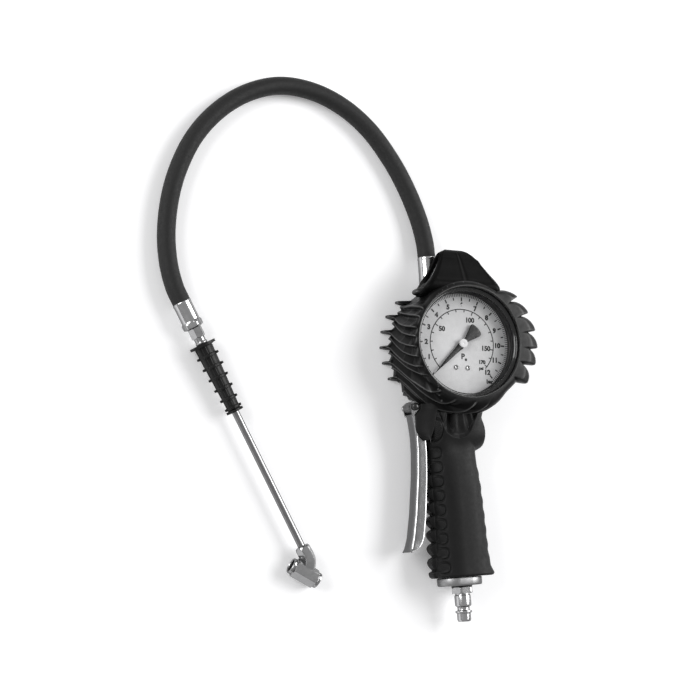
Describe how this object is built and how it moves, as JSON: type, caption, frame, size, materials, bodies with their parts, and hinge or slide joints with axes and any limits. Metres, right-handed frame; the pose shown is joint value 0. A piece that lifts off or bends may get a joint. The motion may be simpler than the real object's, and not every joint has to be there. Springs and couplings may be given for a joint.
{
  "type": "portable tire inflator",
  "caption": "Hand-held tyre inflator: finned rubber-booted dial gauge over a pistol grip with a squeeze lever, inlet plug, hose and a lance with a two-mouth angled chuck.",
  "frame": {"origin": "on the floor under the handle axis, level with the centre of the gauge, at the flat back of the boot", "axes": "+Z out of the dial, -Y down the handle to the inlet plug, -X to the lever side"},
  "size_m": [0.2732, 0.3965, 0.04],
  "materials": {
    "casting": "satin as-cast aluminium",
    "cap": "turned aluminium",
    "plug": "bright nickel plate",
    "seal": "black nitrile rubber",
    "grip": "moulded soft rubber, matt",
    "boot": "moulded black rubber, slightly glossy",
    "lever": "pressed steel, satin nickel plate",
    "pin": "plated steel",
    "spring": "spring steel",
    "brass": "turned brass",
    "case": "black enamelled steel",
    "bezel": "glossy black enamelled steel",
    "lens": "clear flat instrument glass",
    "dial": "white printed aluminium dial",
    "pointer": "matt black aluminium",
    "hose": "black fabric-marked rubber hose",
    "ferrule": "bright plated steel",
    "lance_grip": "moulded black plastic-like rubber",
    "tube": "bright nickel plate on brass",
    "chuck": "bright nickel plate on brass"
  },
  "bodies": {
    "inflator": {"body_casting": "casting", "end_cap": "cap", "inlet_plug": "plug", "plug_seal": "seal", "grip_sleeve": "grip", "gauge_boot": "boot", "lever_pin": "pin", "pin_clip": "spring", "lever_spring": "spring", "stem_gland": "brass", "valve_spring": "spring", "valve_cap": "brass", "cap_seal": "seal", "gauge_case": "case", "gauge_socket": "brass", "gauge_bezel": "bezel", "gauge_lens": "lens", "lens_gasket": "seal", "dial": "dial", "dial_screws": "pin", "movement_plates": "brass", "plate_screws": "pin", "bourdon_tube": "brass", "outlet_fitting": "brass", "upper_ferrule": "ferrule", "hose": "hose", "lower_ferrule": "ferrule", "lance_nut": "chuck", "lance_grip": "lance_grip", "lance_tube": "tube", "chuck_head": "chuck", "chuck_seals": "seal", "chuck_spring_left": "spring", "chuck_spring_right": "spring"},
    "lever_arm": {"lever": "lever"},
    "valve": {"valve_stem": "brass", "stem_seal": "seal"},
    "pointer_arbor": {"pointer": "pointer", "pinion": "brass"},
    "sector": {"sector_gear": "brass"},
    "movement_link": {"link": "pin"},
    "left_pin": {"chuck_pin_left": "brass"},
    "right_pin": {"chuck_pin_right": "brass"}
  },
  "joints": [
    {"name": "lever_pull", "type": "hinge", "parent": "inflator", "child": "lever_arm", "pos_m": [-0.0295, -0.044, 0.016], "axis": [0, 0, 1], "range_deg": [0, 3.5], "stiffness_Nm_per_rad": 1.5, "springref_deg": -5.73, "deforming": ["lever_spring"]},
    {"name": "valve_push", "type": "slide", "parent": "inflator", "child": "valve", "axis": [1, 0, 0], "range_m": [0, 0.00122], "deforming": ["valve_spring"]},
    {"name": "sector_swing", "type": "hinge", "parent": "inflator", "child": "sector", "pos_m": [0.00021, -0.01451, 0.0197], "axis": [0, 0, 1], "range_deg": [0, 45], "stiffness_Nm_per_rad": 0.01, "springref_deg": -2.86, "deforming": ["bourdon_tube"]},
    {"name": "pointer_turn", "type": "hinge", "parent": "inflator", "child": "pointer_arbor", "pos_m": [0.01, 0, 0.0275], "axis": [0, 0, -1], "range_deg": [0, 270]},
    {"name": "link_swing", "type": "hinge", "parent": "sector", "child": "movement_link", "pos_m": [0.00602, -0.01842, 0.0213], "axis": [0, 0, 1], "range_deg": [-45, 0]},
    {"name": "left_pin_press", "type": "slide", "parent": "inflator", "child": "left_pin", "axis": [0.848, -0.5299, 0], "range_m": [0, 0.002], "stiffness_N_per_m": 800, "springref_m": -0.002, "deforming": ["chuck_spring_left"]},
    {"name": "right_pin_press", "type": "slide", "parent": "inflator", "child": "right_pin", "axis": [-0.848, 0.5299, 0], "range_m": [0, 0.002], "stiffness_N_per_m": 800, "springref_m": -0.002, "deforming": ["chuck_spring_right"]}
  ],
  "couplings": [
    {"joint": "valve_push", "follows": "lever_pull", "m_per_rad": 0.02},
    {"joint": "pointer_turn", "follows": "sector_swing", "ratio": 6},
    {"joint": "link_swing", "follows": "sector_swing", "ratio": -1}
  ]
}
